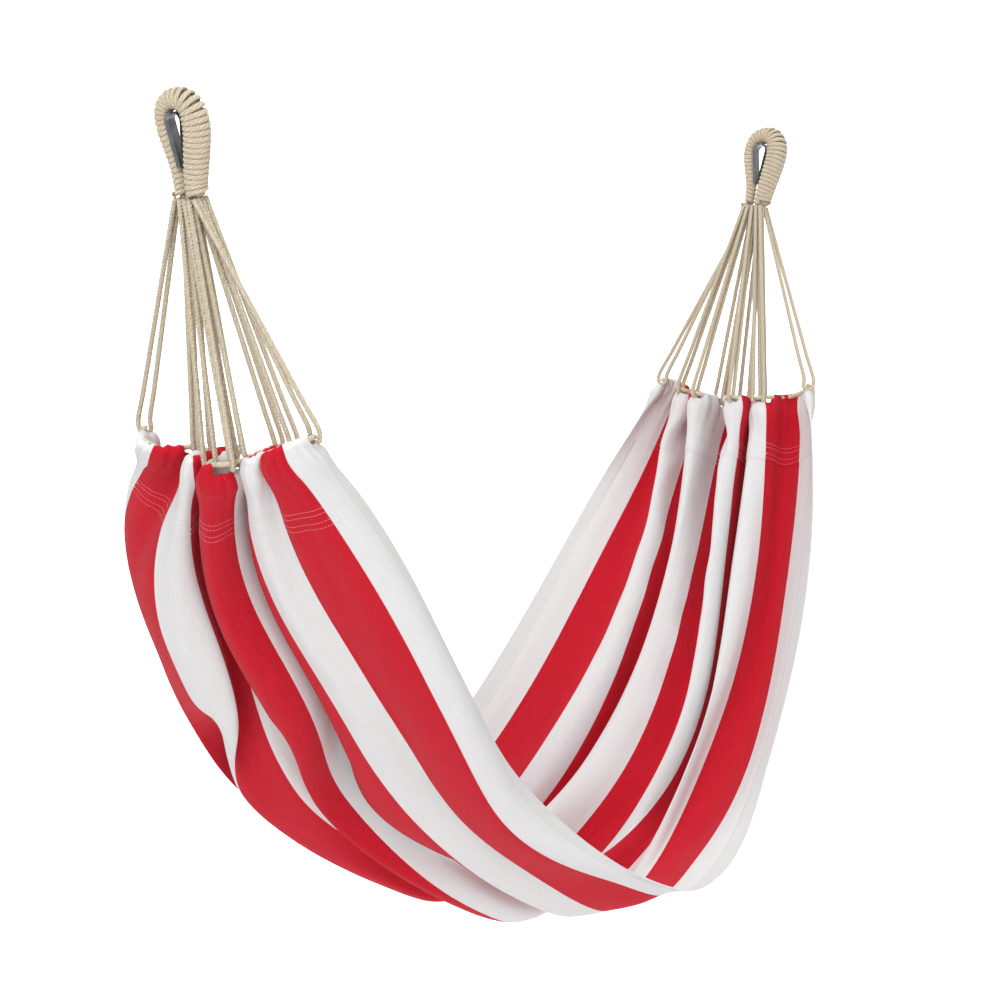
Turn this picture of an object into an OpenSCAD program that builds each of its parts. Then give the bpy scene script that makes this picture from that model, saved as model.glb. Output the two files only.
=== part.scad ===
// Brazilian-style rope hammock: a striped cotton bed hung from two whipped rope eyes by fans of clew cords.
// The origin is the middle of the left eye's crown, where a hook bears. +X points to the right eye,
// -Y to the near edge of the bed, +Z up. Millimetres.

/* [Hanging] */
// Distance between the two hooks, crown to crown
hook_span = 1500; // [1400:10:1600]
// Lean of each eye and its clews from the vertical, towards the middle, in degrees
lean = 13; // [10:1:14]

/* [Bed] */
// Length of the cloth between its two casing ropes, laid flat
bed_length = 2000; // [1960:10:2100]
// Half the distance between the long edges at mid-span
mid_half_width = 320; // [280:10:340]
// Depth of the long edges below the hooks at mid-span
edge_depth = 1090; // [1060:5:1090]
// Depth of the middle of the bed below the hooks at mid-span
trough_depth = 1165; // [1130:5:1165]
// Thickness of the cloth with its gathers
cloth = 3; // [2:0.5:4]

/* [Cords] */
// Length of a clew from the eye's throat to the casing rope
clew_length = 335; // [325:5:345]
// Diameter of a clew cord
clew_d = 7; // [6:0.5:7]
// Diameter of the rope in each end hem
casing_d = 8; // [6:0.5:8]
// Height of the eye from crown centre to throat
throat_drop = 95; // [95:1:98]
// Thickness of the whipping round the eye
whipping = 5; // [3:0.5:6]

/* [Thimble] */
// Radius of the seat that the hook bears on
seat_r = 9; // [8:0.5:9]
// Width of the flat of the seat
seat_w = 14; // [10:1:14]
// Thickness of the thimble's steel
plate = 1.5; // [1:0.25:1.5]

/* [Hidden] */

gap = 0.4;
seam = 0.05;
eye_sides = 14;
rope_sides = 8;
cloth_rows = 40;
mitre = 62;
knot_r = 3.5;

// The casing rope in plan, from the near corner to the far one. It runs out and in with the folds of the
// gathered hem: x is across the load, outwards negative, and y is along the hem.
CASING = [
    [0, -140], [-20, -139], [-36, -130], [-37, -117], [-20, -110], [2, -109], [8, -98], [2, -87],
    [-22, -86], [-38, -82], [-38, -73], [-20, -69], [20, -68], [27, -57], [20, -46], [-18, -46],
    [-36, -46], [-49, -41], [-58, -28], [-58, -13], [-46, -3], [-20, 0], [20, 1], [27, 12],
    [20, 23], [-14, 24], [-33, 26], [-33, 34], [-18, 38], [-4, 40], [5, 48], [5, 63],
    [-4, 72], [-20, 76], [-31, 88], [-31, 108], [-22, 128], [0, 140]
];

// Each clew: the casing point it hangs from, and the two places in the throat that its legs start from,
// as steps of a square grid along and across the hem
CLEWS = [
    [0, [-2, -0.5], [-2, -1.5]],
    [6, [-2, 0.5], [-2, 1.5]],
    [13, [-1, 0.5], [-1, 1.5]],
    [16, [-1, -0.5], [0, -0.5]],
    [17, [-1, -1.5], [0, -1.5]],
    [20, [1, -0.5], [1, -1.5]],
    [23, [0, 0.5], [0, 1.5]],
    [30, [1, 0.5], [1, 1.5]],
    [31, [2, 0.5], [2, 1.5]],
    [37, [2, -0.5], [2, -1.5]]
];

// The middle of the eye's bundle, up the thick leg, over the crown and down the thin one: y, z and radius
EYE = [
    [-14, -95, 14.5], [-14, -80, 15], [-17.8, -62, 16], [-23, -40, 17], [-28.5, -15, 17.7],
    [-29, 0, 17.8], [-26, 14, 17], [-17, 24, 15.8], [-4, 26.5, 14.2], [9, 23.5, 13],
    [19, 14, 12], [22.5, 0, 11.3], [21, -16, 11], [16.5, -38, 10.3], [12.5, -60, 9.5],
    [12.4, -78, 8.8], [12.4, -95, 8.5]
];

// ---- curves ----

function cosh(t) = (exp(t) + exp(-t)) / 2;
function sinh(t) = (exp(t) - exp(-t)) / 2;
function asinh(t) = ln(t + sqrt(t * t + 1));
function atanh(t) = ln((1 + t) / (1 - t)) / 2;

// The value whose sinh is k times itself, by halving
function bow(k, lo = 0.001, hi = 10, n = 40) =
    n == 0 ? lo
    : let (m = (lo + hi) / 2) sinh(m) / m < k ? bow(k, m, hi, n - 1) : bow(k, lo, m, n - 1);

// The point at fraction t of a hanging line of a given length from p to q, both [x, z]
function hanging(p, q, length, t) =
    let (
        dx = q[0] - p[0],
        dz = q[1] - p[1],
        b = bow(sqrt(length * length - dz * dz) / dx),
        a = dx / (2 * b),
        low_x = (p[0] + q[0]) / 2 - a * atanh(dz / length),
        low_z = (p[1] + q[1]) / 2 - length * cosh(b) / sinh(b) / 2,
        s = t * length / a + sinh((p[0] - low_x) / a)
    )
    [low_x + a * asinh(s), low_z + a * sqrt(1 + s * s)];

// A smooth run through points, with one more point in the middle of each step
function smoothed(p) = [
    for (i = [0:2 * len(p) - 2])
        let (
            k = floor(i / 2),
            n = len(p) - 1
        )
        i % 2 == 0 ? p[k] : (9 * (p[k] + p[k + 1]) - p[max(k - 1, 0)] - p[min(k + 2, n)]) / 16
];

function unit(v) = v / norm(v);
function tangent(p, i) = unit(p[min(i + 1, len(p) - 1)] - p[max(i - 1, 0)]);

// Turns v by the least turn that takes direction a to direction b
function carried(v, a, b) =
    let (
        c = cross(a, b),
        d = a * b
    )
    v * d + cross(c, v) + c * (c * v) / (1 + d);

function frames(p, i, first) =
    i == 0 ? [first]
    : let (before = frames(p, i - 1, first))
    concat(before, [unit(carried(before[i - 1], tangent(p, i - 1), tangent(p, i)))]);

// ---- swept solids ----

function rings(p, r, sides, first) =
    let (side = frames(p, len(p) - 1, unit(first - (first * tangent(p, 0)) * tangent(p, 0))))
    [
        for (i = [0:len(p) - 1])
            for (k = [0:sides - 1])
                let (a = 360 * k / sides)
                p[i] + r[i] * (cos(a) * side[i] + sin(a) * cross(tangent(p, i), side[i]))
    ];

function skin(n, sides, start = 0) = [
    for (i = [0:n - 2])
        for (k = [0:sides - 1])
            let (
                j = (k + 1) % sides,
                a = start + i * sides
            )
            [a + k, a + sides + k, a + sides + j, a + j]
];

function flipped(faces) = [for (f = faces) [for (i = [len(f) - 1:-1:0]) f[i]]];

// A solid round tube along points p with radius r[i] at each
module tube(p, r, sides, first = [1, 0, 0]) {
    n = len(p);
    ends = [
        [for (k = [0:sides - 1]) k],
        [for (k = [sides - 1:-1:0]) (n - 1) * sides + k]
    ];
    polyhedron(rings(p, r, sides, first), concat(skin(n, sides), ends), convexity = 10);
}

// A sleeve round the same points, from radius inner[i] to outer[i]
module sleeve(p, outer, inner, sides, first = [1, 0, 0]) {
    n = len(p);
    inside = n * sides;
    last = (n - 1) * sides;
    near_end = [for (k = [0:sides - 1]) let (j = (k + 1) % sides) [k, j, inside + j, inside + k]];
    far_end = [
        for (k = [0:sides - 1])
            let (j = (k + 1) % sides)
            [last + j, last + k, inside + last + k, inside + last + j]
    ];
    polyhedron(
        concat(rings(p, outer, sides, first), rings(p, inner, sides, first)),
        concat(skin(n, sides), flipped(skin(n, sides, inside)), near_end, far_end),
        convexity = 10
    );
}

// ---- the two ends ----

// The left end leans about Y. Its own -Z runs down the load.
module at_left() {
    rotate([0, -lean, 0]) children();
}

// The right eye is the left one's mirror image, with its thick leg on the same near side
module at_right_mirrored() {
    translate([hook_span, 0, 0]) mirror([1, 0, 0]) at_left() children();
}

// The right end of the bed is the left one turned half round about mid-span
module at_right_turned() {
    translate([hook_span, 0, 0]) rotate([0, 0, 180]) at_left() children();
}

function leaned(p) = [
    p[0] * cos(lean) - p[2] * sin(lean),
    p[1],
    p[0] * sin(lean) + p[2] * cos(lean)
];
function turned(p) = [hook_span - p[0], -p[1], p[2]];

// All clews are the same length, so the casing lies on a ball round the throat
function casing_z(p) = -throat_drop - sqrt(clew_length * clew_length - p * p);
function casing_point(i) = [CASING[i][0], CASING[i][1], casing_z(CASING[i])];

// ---- thimble ----

module channel_profile() {
    half = seat_w / 2;
    lip_r = seat_r + 3.2;
    lip_x = half + 3.4;
    polygon([
        [seat_r, -half], [lip_r, -lip_x], [lip_r + 0.7, -lip_x + 1.3], [seat_r + plate, 0.5 - half],
        [seat_r + plate, half - 0.5], [lip_r + 0.7, lip_x - 1.3], [lip_r, lip_x], [seat_r, half]
    ]);
}

// Teardrop channel: a turned crown and two straight legs that meet in a mitre below it
module thimble() {
    taper = asin(seat_r / mitre);
    leg = mitre * cos(taper);
    color([0.35, 0.36, 0.38])
    rotate([0, 90, 0]) rotate([0, 0, 180]) {
        rotate([0, 0, -90 - taper]) rotate_extrude(angle = 180 + 2 * taper, $fn = 96) channel_profile();
        for (side = [0, 1])
            mirror([0, side, 0])
            intersection() {
                rotate([0, 0, 90 + taper])
                translate([0, -seam, 0])
                rotate([-90, 0, 0])
                linear_extrude(leg + 10) channel_profile();
                translate([-mitre + 3, 0, -50]) cube([2 * mitre, mitre, 100]);
            }
    }
}

// ---- eye ----

eye_path = smoothed([for (p = EYE) [0, p[0], p[1]]]);
eye_outer = smoothed([for (p = EYE) p[2]]);

module eye_core() {
    color([0.80, 0.75, 0.64])
    tube(eye_path, [for (r = eye_outer) r - whipping - gap], eye_sides);
}

module eye_whipping() {
    color([0.84, 0.80, 0.69])
    sleeve(eye_path, eye_outer, [for (r = eye_outer) r - whipping], eye_sides);
}

// The whipping cord's tucked end, below the thin leg
module whipping_knot() {
    color([0.62, 0.50, 0.36])
    translate([0, 24.5, 2 - throat_drop]) {
        sphere(r = knot_r, $fn = 24);
        translate([0, 0, -10]) cylinder(h = 8, r = 1.5, $fn = 16);
    }
}

// ---- clews ----

grid = clew_d + 0.6;

// One clew: down from the throat, under the casing rope and back up
module clew(c) {
    i = c[0];
    along = tangent(CASING, i);
    across = [along[1], -along[0]];
    hang = casing_point(i);
    out = [across[0], across[1], 0] * (casing_d / 2 + clew_d / 2 + gap);
    up = [0, 0, 1];
    reach = norm(out);
    top_a = [grid * c[1][1], grid * c[1][0], -throat_drop - 2];
    top_b = [grid * c[2][1], grid * c[2][0], -throat_drop - 2];
    flip = (top_a - top_b) * out < 0 ? -1 : 1;
    leg_a = hang + flip * out;
    leg_b = hang - flip * out;
    down_a = [for (t = [0, 0.1, 0.3, 0.5, 0.7, 0.86]) top_a + t * (leg_a + 8 * up - top_a)];
    up_b = [for (t = [0.86, 0.7, 0.5, 0.3, 0.1, 0]) top_b + t * (leg_b + 8 * up - top_b)];
    turn = [for (a = [0:30:180]) hang + flip * cos(a) * out - sin(a) * reach * up];
    route = concat(down_a, [leg_a + 9 * up], turn, [leg_b + 9 * up], up_b);
    color([0.85, 0.81, 0.72])
    tube(route, [for (p = route) clew_d / 2], rope_sides);
}

// ---- bed ----

module casing_rope() {
    route = smoothed([for (i = [0:len(CASING) - 1]) casing_point(i)]);
    color([0.88, 0.84, 0.75])
    tube(route, [for (p = route) casing_d / 2], rope_sides, [0, 0, 1]);
}

columns = len(CASING) - 1;
rows = cloth_rows;
start_drop = 14;
bend = 0.03;
flare = 0.45;
steepness = 2.6;

function smooth_step(t) = t * t * (3 - 2 * t);

// The same line with its lowest point rounded off
function rounded(p, q, length, t) =
    let (
        u = 1 - t,
        high = 1 - sqrt(u * u + bend * bend * (1 - u))
    )
    [hanging(p, q, length, t)[0], hanging(p, q, length, high)[1]];

// The middle line and the long edge of the hanging bed, at fraction t of the way from the end to mid-span
function middle_line(t) =
    let (p = leaned([0, 0, -throat_drop - clew_length - start_drop]))
    rounded([p[0], p[2]], [hook_span / 2, -trough_depth], bed_length / 2 - start_drop, t);
function edge_line(t) =
    let (
        corner = casing_point(0),
        p = leaned([0, 0, corner[2] - start_drop]),
        out = mid_half_width + corner[1],
        half = bed_length / 2 - start_drop
    )
    rounded([p[0], p[2]], [hook_span / 2, -edge_depth], sqrt(half * half - out * out), t);

// A point of the left half of the cloth: t from the end to mid-span, column j from the near edge
function cloth_point(t, j) =
    let (
        v = 2 * j / columns - 1,
        m = pow(abs(v), steepness),
        fade = pow(1 - t, 1.6),
        level = casing_z([0, 0]) * (1 - m) + casing_z(CASING[0]) * m,
        fold = leaned([CASING[j][0], 0, casing_z(CASING[j]) - level]),
        a = middle_line(t),
        b = edge_line(t),
        half = -CASING[0][1],
        wide = half + (mid_half_width - half) * pow(smooth_step(t), flare),
        base_y = v * wide
    )
    [
        a[0] * (1 - m) + b[0] * m + fade * fold[0],
        base_y + fade * (CASING[j][1] - v * half),
        a[1] * (1 - m) + b[1] * m + fade * fold[2]
    ];

function bed_point(i, j) =
    let (t = 2 * i / rows)
    t <= 1 ? cloth_point(t, j) : turned(cloth_point(2 - t, columns - j));

function bed_normal(g, i, j) =
    unit(cross(
        g[min(i + 1, rows)][j] - g[max(i - 1, 0)][j],
        g[i][min(j + 1, columns)] - g[i][max(j - 1, 0)]
    ));

module bed_fabric() {
    g = [for (i = [0:rows]) [for (j = [0:columns]) bed_point(i, j)]];
    w = columns + 1;
    back = (rows + 1) * w;
    points = [
        for (side = [0.5, -0.5])
            for (i = [0:rows])
                for (j = [0:columns])
                    g[i][j] + side * cloth * bed_normal(g, i, j)
    ];
    top_faces = [
        for (i = [0:rows - 1])
            for (j = [0:columns - 1])
                let (k = i * w + j)
                each [[k, k + 1, k + w], [k + 1, k + w + 1, k + w]]
    ];
    under_faces = [for (f = top_faces) [f[2] + back, f[1] + back, f[0] + back]];
    end_rims = [
        for (j = [0:columns - 1])
            let (k = rows * w + j)
            each [
                [j + 1, j, j + back], [j + 1, j + back, j + 1 + back],
                [k, k + 1, k + 1 + back], [k, k + 1 + back, k + back]
            ]
    ];
    side_rims = [
        for (i = [0:rows - 1])
            let (
                k = i * w,
                m = i * w + columns
            )
            each [
                [k, k + w, k + w + back], [k, k + w + back, k + back],
                [m + w, m, m + back], [m + w, m + back, m + w + back]
            ]
    ];
    color([0.78, 0.12, 0.20])
    polyhedron(points, concat(top_faces, under_faces, end_rims, side_rims), convexity = 20);
}

module left_clew(n) { at_left() clew(CLEWS[n - 1]); }
module right_clew(n) { at_right_turned() clew(CLEWS[n - 1]); }

bed_fabric();
at_left() casing_rope();  // left_casing_rope
at_right_turned() casing_rope();  // right_casing_rope
at_left() thimble();  // left_thimble
at_right_mirrored() thimble();  // right_thimble
at_left() eye_core();  // left_eye_core
at_right_mirrored() eye_core();  // right_eye_core
at_left() eye_whipping();  // left_eye_whipping
at_right_mirrored() eye_whipping();  // right_eye_whipping
at_left() whipping_knot();  // left_whipping_knot
at_right_mirrored() whipping_knot();  // right_whipping_knot
left_clew(1);  // left_clew_1
left_clew(2);  // left_clew_2
left_clew(3);  // left_clew_3
left_clew(4);  // left_clew_4
left_clew(5);  // left_clew_5
left_clew(6);  // left_clew_6
left_clew(7);  // left_clew_7
left_clew(8);  // left_clew_8
left_clew(9);  // left_clew_9
left_clew(10);  // left_clew_10
right_clew(1);  // right_clew_1
right_clew(2);  // right_clew_2
right_clew(3);  // right_clew_3
right_clew(4);  // right_clew_4
right_clew(5);  // right_clew_5
right_clew(6);  // right_clew_6
right_clew(7);  // right_clew_7
right_clew(8);  // right_clew_8
right_clew(9);  // right_clew_9
right_clew(10);  // right_clew_10
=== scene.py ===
"""Looks for the striped rope hammock: laid cords, whipped eyes, a settled cotton bed and a plain studio.

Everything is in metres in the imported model's frame: the origin is the crown of the left eye, +X points to
the right eye, -Y to the near edge of the bed and +Z up.
"""
import math

import bpy
import numpy as np
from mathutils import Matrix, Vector


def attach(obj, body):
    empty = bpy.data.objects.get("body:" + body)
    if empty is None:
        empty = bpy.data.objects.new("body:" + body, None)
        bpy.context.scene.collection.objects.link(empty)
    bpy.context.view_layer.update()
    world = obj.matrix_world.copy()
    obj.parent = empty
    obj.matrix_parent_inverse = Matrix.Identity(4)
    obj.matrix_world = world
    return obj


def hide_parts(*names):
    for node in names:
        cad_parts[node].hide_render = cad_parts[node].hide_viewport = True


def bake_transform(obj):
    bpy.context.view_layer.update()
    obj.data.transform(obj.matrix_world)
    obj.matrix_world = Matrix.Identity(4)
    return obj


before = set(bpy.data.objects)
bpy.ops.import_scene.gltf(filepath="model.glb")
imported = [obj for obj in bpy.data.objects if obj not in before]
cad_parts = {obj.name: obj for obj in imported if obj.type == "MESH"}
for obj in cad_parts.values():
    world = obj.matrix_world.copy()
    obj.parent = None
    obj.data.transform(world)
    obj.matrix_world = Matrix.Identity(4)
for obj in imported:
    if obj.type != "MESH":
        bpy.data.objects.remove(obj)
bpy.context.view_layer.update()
scene = bpy.context.scene

# ---- camera ----

camera = bpy.data.objects.new("camera", bpy.data.cameras.new("camera"))
camera.location = (-2.442, -2.131, -0.136)
camera.rotation_euler = (math.radians(84.1), 0, math.radians(-55.9))
camera.data.lens = 93.6
camera.data.sensor_width = 36
scene.collection.objects.link(camera)
scene.camera = camera

# ---- the model's own numbers, as in part.scad ----

HOOK_SPAN = 1.5             # between the two hooks
LEAN = math.radians(13)     # of the load line at each end
BED_LENGTH = 2.0            # flat
BED_WIDTH = 1.0             # flat
MID_HALF_WIDTH = 0.32       # of the hung bed at its middle
EDGE_DEPTH = 1.09           # of the bed's edges at its middle, below the hooks
TROUGH_DEPTH = 1.165        # of the bed's lowest line
CLEW_LENGTH = 0.335         # throat to casing rope
CLEW_D = 0.007
CASING_D = 0.008
THROAT_DROP = 0.095         # crown of the eye to its throat
WHIPPING = 0.005            # thickness of the whipping cord
GAP = 0.0004                # kept free between touching cords
START_DROP = 0.014          # casing rope to the start of the free cloth
BEND = 0.03                 # how round the lowest point is, in half bed lengths
FLARE = 0.45                # how soon the bed widens
STEEPNESS = 2.6             # how flat the middle lies between its edges

# The casing rope in plan, mm: inwards, along the hem
CASING = 0.001 * np.array([
    [0, -140], [-20, -139], [-36, -130], [-37, -117], [-20, -110], [2, -109], [8, -98], [2, -87],
    [-22, -86], [-38, -82], [-38, -73], [-20, -69], [20, -68], [27, -57], [20, -46], [-18, -46],
    [-36, -46], [-49, -41], [-58, -28], [-58, -13], [-46, -3], [-20, 0], [20, 1], [27, 12],
    [20, 23], [-14, 24], [-33, 26], [-33, 34], [-18, 38], [-4, 40], [5, 48], [5, 63],
    [-4, 72], [-20, 76], [-31, 88], [-31, 108], [-22, 128], [0, 140],
])

# Each clew: its point on the casing rope, and where its two strands stand in the bundle at the throat
CLEWS = [
    [0, [-2, -0.5], [-2, -1.5]], [6, [-2, 0.5], [-2, 1.5]], [13, [-1, 0.5], [-1, 1.5]],
    [16, [-1, -0.5], [0, -0.5]], [17, [-1, -1.5], [0, -1.5]], [20, [1, -0.5], [1, -1.5]],
    [23, [0, 0.5], [0, 1.5]], [30, [1, 0.5], [1, 1.5]], [31, [2, 0.5], [2, 1.5]],
    [37, [2, -0.5], [2, -1.5]],
]

# The middle of the eye's bundle and its radius, mm: y, z, r
EYE = 0.001 * np.array([
    [-14, -95, 14.5], [-14, -80, 15], [-17.8, -62, 16], [-23, -40, 17], [-28.5, -15, 17.7],
    [-29, 0, 17.8], [-26, 14, 17], [-17, 24, 15.8], [-4, 26.5, 14.2], [9, 23.5, 13],
    [19, 14, 12], [22.5, 0, 11.3], [21, -16, 11], [16.5, -38, 10.3], [12.5, -60, 9.5],
    [12.4, -78, 8.8], [12.4, -95, 8.5],
])


def unit(v):
    return v / np.linalg.norm(v, axis=-1, keepdims=True)


def smooth_step(t):
    t = np.clip(t, 0, 1)
    return t * t * (3 - 2 * t)


def leaned(p):
    """The left end's own axes to the model's: its -Z runs down the load."""
    p = np.asarray(p, float)
    c, s = math.cos(LEAN), math.sin(LEAN)
    return np.stack([p[..., 0] * c - p[..., 2] * s, p[..., 1], p[..., 0] * s + p[..., 2] * c], -1)


def turned(p):
    """The right end of the bed is the left one turned half round."""
    return np.stack([HOOK_SPAN - p[..., 0], -p[..., 1], p[..., 2]], -1)


def mirrored(p):
    """The right eye is the left one's mirror image."""
    return np.stack([HOOK_SPAN - p[..., 0], p[..., 1], p[..., 2]], -1)


def spline(points, step):
    """A smooth line through the points, sampled every step along its length."""
    p = np.array(points, float)
    p = np.vstack([2 * p[0] - p[1], p, 2 * p[-1] - p[-2]])
    fine = []
    for a, b, c, d in zip(p, p[1:], p[2:], p[3:]):
        t0 = 0
        t1 = t0 + np.linalg.norm(b - a) ** 0.5
        t2 = t1 + np.linalg.norm(c - b) ** 0.5
        t3 = t2 + np.linalg.norm(d - c) ** 0.5
        t = np.linspace(t1, t2, 16, endpoint=False)[:, None]
        ab = ((t1 - t) * a + (t - t0) * b) / (t1 - t0)
        bc = ((t2 - t) * b + (t - t1) * c) / (t2 - t1)
        cd = ((t3 - t) * c + (t - t2) * d) / (t3 - t2)
        abc = ((t2 - t) * ab + (t - t0) * bc) / (t2 - t0)
        bcd = ((t3 - t) * bc + (t - t1) * cd) / (t3 - t1)
        fine.append(((t2 - t) * abc + (t - t1) * bcd) / (t2 - t1))
    fine = np.vstack(fine + [p[-2:-1]])
    run = along(fine)
    return read(np.linspace(0, run[-1], max(2, round(run[-1] / step) + 1)), run, fine)


def along(path):
    """The distance run at each point of a path."""
    return np.concatenate([[0], np.cumsum(np.linalg.norm(np.diff(path, axis=0), axis=1))])


def read(x, run, values):
    """The values, one row for each place along run, read at x."""
    return np.stack([np.interp(x, run, values[:, k]) for k in range(values.shape[1])], -1)


def tangents(path):
    return unit(np.gradient(path, axis=0))


def carried_sides(path, first):
    """A side direction at each point of a path that never spins round it."""
    t = tangents(path)
    side = unit(first - (first @ t[0]) * t[0])
    sides = [side]
    for now in t[1:]:
        side = unit(side - (side @ now) * now)
        sides.append(side)
    return np.array(sides)


# ---- mesh helpers ----

def add_mesh(name, verts, faces, uvs=None):
    """A smooth mesh object. uvs has one (u, v) for each vertex."""
    mesh = bpy.data.meshes.new(name)
    mesh.from_pydata(np.asarray(verts).tolist(), [], faces)
    if uvs is not None:
        layer = mesh.uv_layers.new(name="UVMap")
        loops = np.empty(len(mesh.loops), np.int32)
        mesh.loops.foreach_get("vertex_index", loops)
        layer.data.foreach_set("uv", np.asarray(uvs, np.float32)[loops].ravel())
    mesh.polygons.foreach_set("use_smooth", [True] * len(mesh.polygons))
    obj = bpy.data.objects.new(name, mesh)
    scene.collection.objects.link(obj)
    return obj


def tube_faces(rings, sides):
    """Quads between the rings of a tube, and its two end caps."""
    faces = []
    for i in range(rings - 1):
        for k in range(sides):
            j = (k + 1) % sides
            faces.append((i * sides + k, i * sides + j, (i + 1) * sides + j, (i + 1) * sides + k))
    faces.append(tuple(range(sides - 1, -1, -1)))
    faces.append(tuple((rings - 1) * sides + k for k in range(sides)))
    return faces


def lobed(angle, strands, groove):
    """How far out the surface of a laid rope is at an angle round it, 1 at the top of a strand."""
    return 1 - groove * (1 - np.abs(np.cos(angle * strands / 2)) ** 0.8)


def laid_rope(name, path, radius, lay, first=(1, 0, 0), strands=3, per_strand=4, groove=0.24):
    """A rope of twisted strands along a path. lay is the length of one full twist."""
    sides = strands * per_strand
    path = np.asarray(path)
    radius = np.broadcast_to(radius, len(path))
    t = tangents(path)
    side = carried_sides(path, np.array(first, float))
    other = np.cross(t, side)
    run = along(path)
    around = np.arange(sides) * 2 * math.pi / sides
    angle = around[None, :] + (2 * math.pi * run / lay)[:, None]
    reach = radius[:, None] * lobed(around, strands, groove)[None, :]
    verts = (
        path[:, None, :]
        + (reach * np.cos(angle))[..., None] * side[:, None, :]
        + (reach * np.sin(angle))[..., None] * other[:, None, :]
    )
    u = np.broadcast_to(np.abs(around / math.pi - 1)[None, :] * strands, reach.shape)
    v = np.broadcast_to(run[:, None], reach.shape)
    uvs = np.stack([u, v], -1).reshape(-1, 2)
    return add_mesh(name, verts.reshape(-1, 3), tube_faces(len(path), sides), uvs)


# ---- material helpers ----

def new_material(name):
    mat = bpy.data.materials.new(name)
    mat.use_nodes = True
    tree = mat.node_tree
    return mat, tree, tree.nodes["Principled BSDF"]


def plug(tree, made, **inputs):
    """Sets a node's inputs. Each is named by its socket, or by _ and its number; its value may be a number,
    a colour or another node's output."""
    for key, value in inputs.items():
        socket = made.inputs[int(key[1:])] if key[0] == "_" else made.inputs[key.replace("_", " ")]
        if isinstance(value, bpy.types.NodeSocket):
            tree.links.new(value, socket)
        else:
            socket.default_value = value
    return made


def node(tree, kind, settings=None, **inputs):
    """A new shader node with its settings and inputs."""
    made = tree.nodes.new(kind)
    for key, value in (settings or {}).items():
        setattr(made, key, value)
    return plug(tree, made, **inputs)


def maths(tree, operation, *values):
    """A Math node's output."""
    inputs = {f"_{i}": value for i, value in enumerate(values)}
    return node(tree, "ShaderNodeMath", {"operation": operation}, **inputs).outputs[0]


def mixed(tree, share, a, b):
    """A mix of two colours."""
    return node(tree, "ShaderNodeMix", {"data_type": "RGBA"}, _0=share, _6=a, _7=b).outputs[2]


def ramp(tree, value, stops, interpolation="LINEAR"):
    """A colour ramp: stops are (place, colour)."""
    made = node(tree, "ShaderNodeValToRGB", _0=value)
    made.color_ramp.interpolation = interpolation
    elements = made.color_ramp.elements
    while len(elements) < len(stops):
        elements.new(1)
    for element, (place, colour) in zip(elements, stops):
        element.position = place
        element.color = colour
    return made.outputs[0]


def noise(tree, vector, scale, detail):
    return node(tree, "ShaderNodeTexNoise", Vector=vector, Scale=scale, Detail=detail).outputs[0]


def stretched(tree, vector, scale):
    return node(tree, "ShaderNodeMapping", Vector=vector, Scale=scale).outputs[0]


def bumped(tree, bsdf, height, distance, strength):
    made = node(tree, "ShaderNodeBump", Height=height, Distance=distance, Strength=strength)
    plug(tree, bsdf, Normal=made.outputs[0])


# ---- materials ----

STRIPES = [0, 82, 177, 267, 362, 452, 548, 638, 733, 823, 918]  # where each stripe starts, in mm of 1000
RED = (0.62, 0.004, 0.020, 1)
RED_FLECK = (0.70, 0.022, 0.048, 1)
RED_DEEP = (0.44, 0.002, 0.012, 1)
WHITE = (0.78, 0.78, 0.79, 1)
WHITE_SHADE = (0.70, 0.69, 0.69, 1)
# painted shade: the side hems are drawn greyer than the cloth they are folded from
PAINTED_HEM_SHADE = (0.56, 0.57, 0.55, 1)
# painted shade: a darker line along the inner edge of each side hem
PAINTED_SEAM_SHADE = (0.42, 0.42, 0.41, 1)
AGED = (0.56, 0.45, 0.30, 1)
SIDE_HEM = 0.026     # width of the side hems
SEAM = 0.0012        # how far the painted shade along a side hem's inner edge reaches into the hem
SEAM_PAST = 0.0008   # and how far it reaches into the free cloth
WAVER = 0.0012       # how far the edges of the stripes stray
WEAVE = 0.0009       # from one thread to the next but one
YARN_SLANT = 5       # how far the yarns lean across a strand


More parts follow.
